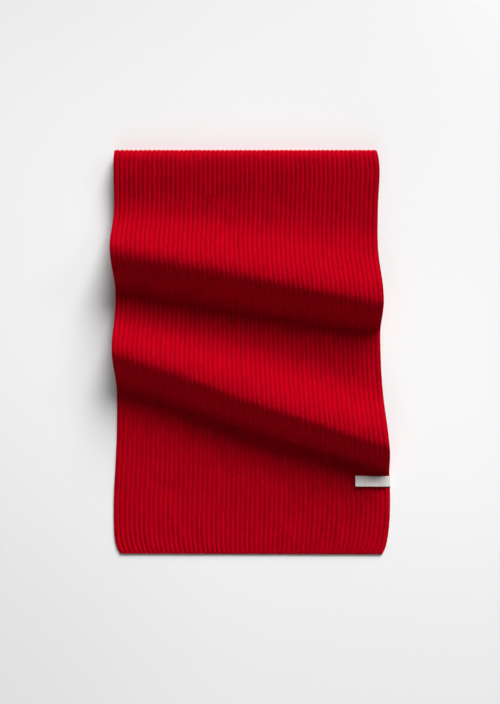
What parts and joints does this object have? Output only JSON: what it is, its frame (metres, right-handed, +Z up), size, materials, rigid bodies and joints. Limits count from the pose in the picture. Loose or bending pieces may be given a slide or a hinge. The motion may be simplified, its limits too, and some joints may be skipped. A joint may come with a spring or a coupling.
{
  "type": "folded knit scarf",
  "caption": "Rib-knit scarf folded flat, its top stretch rolled over the layers beneath and raised in soft slanting waves.",
  "frame": {"origin": "under the middle of the folded scarf, on the surface it lies on", "axes": "+X across the scarf to the side with the label, +Y along it to the rolled end, +Z up"},
  "size_m": [0.2999, 0.4356, 0.056],
  "materials": {
    "red_rib_knit": "soft matt wool knit with a light nap",
    "red_knit_layers": "the same knit, folded",
    "pale_woven_tape": "bare woven tape"
  },
  "bodies": {
    "root": {"ribbed_stretch": "red_rib_knit", "hidden_layers": "red_knit_layers", "woven_label": "pale_woven_tape"}
  },
  "joints": []
}
